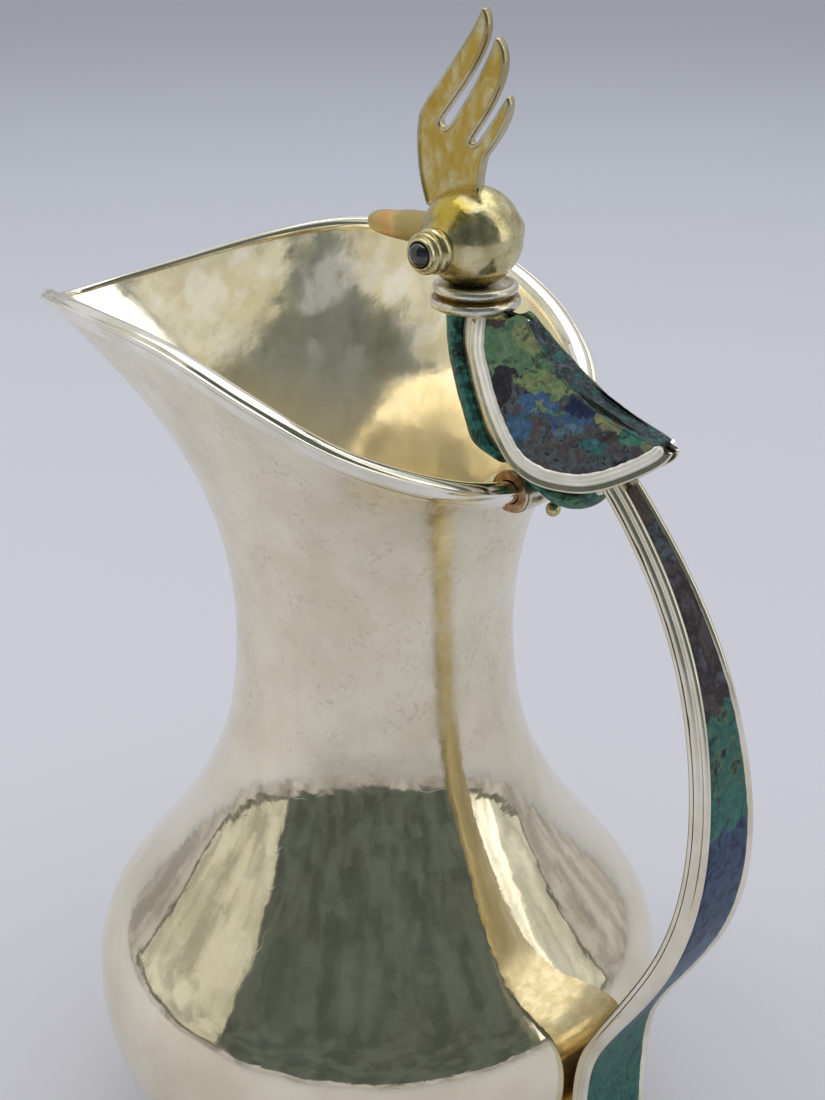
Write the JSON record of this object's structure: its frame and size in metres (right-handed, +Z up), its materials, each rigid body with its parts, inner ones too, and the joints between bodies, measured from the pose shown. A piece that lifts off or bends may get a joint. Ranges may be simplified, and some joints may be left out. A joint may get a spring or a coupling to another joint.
{
  "type": "water pitcher",
  "caption": "Silver water pitcher with a round belly, narrow neck and wide flared spout, its handle a crested bird with stone-inlaid wings and a stone-inlaid curved tail.",
  "frame": {"origin": "centre of the underside of the base, on the axis of the belly and neck", "axes": "+Z up along the axis of the belly and neck, +X towards the handle, -X towards the spout, XZ the plane of symmetry"},
  "size_m": [0.2207, 0.1524, 0.3106],
  "materials": {
    "silver_bright": "polished silver with light scratches and a faint warm tarnish",
    "silver_satin": "satin silver, darker in its grooves",
    "brass": "worn brass, part polished",
    "ochre_brass": "dull orange-brown brass",
    "onyx": "polished black cabochon",
    "green_stone": "polished green stone chips in dark cement",
    "blue_stone": "polished blue stone chips in dark cement",
    "dark_stone": "polished brown, purple and black stone"
  },
  "bodies": {
    "root": {"vessel_shell": "silver_bright", "base_plate": "silver_bright", "rim_wire": "silver_bright", "rim_loop": "silver_satin", "loop_tab": "brass", "loop_bead": "brass", "head": "brass", "beak": "ochre_brass", "crest": "brass", "eye_cup_left": "brass", "eye_bezel_left": "brass", "eye_stone_left": "onyx", "eye_cup_right": "brass", "eye_bezel_right": "brass", "eye_stone_right": "onyx", "collar_lower": "silver_satin", "collar_upper": "silver_satin", "bird_body": "silver_satin", "breast_inlay": "green_stone", "belly_inlay": "green_stone", "back_inlay": "dark_stone", "wing_plate_left": "silver_satin", "wing_bezel_left": "silver_bright", "wing_stone_left_1": "green_stone", "wing_stone_left_2": "dark_stone", "wing_stone_left_3": "blue_stone", "wing_stone_left_4": "dark_stone", "wing_stone_left_5": "green_stone", "wing_plate_right": "silver_satin", "wing_bezel_right": "silver_bright", "wing_stone_right_1": "green_stone", "wing_stone_right_2": "dark_stone", "wing_stone_right_3": "blue_stone", "wing_stone_right_4": "dark_stone", "wing_stone_right_5": "green_stone", "handle_back": "silver_satin", "handle_wall_left": "silver_bright", "handle_wall_right": "silver_bright", "handle_stone_1": "dark_stone", "handle_stone_2": "dark_stone", "handle_stone_3": "dark_stone", "handle_stone_4": "green_stone", "handle_stone_5": "green_stone", "handle_stone_6": "blue_stone", "handle_stone_7": "blue_stone", "handle_stone_8": "green_stone"}
  },
  "joints": []
}
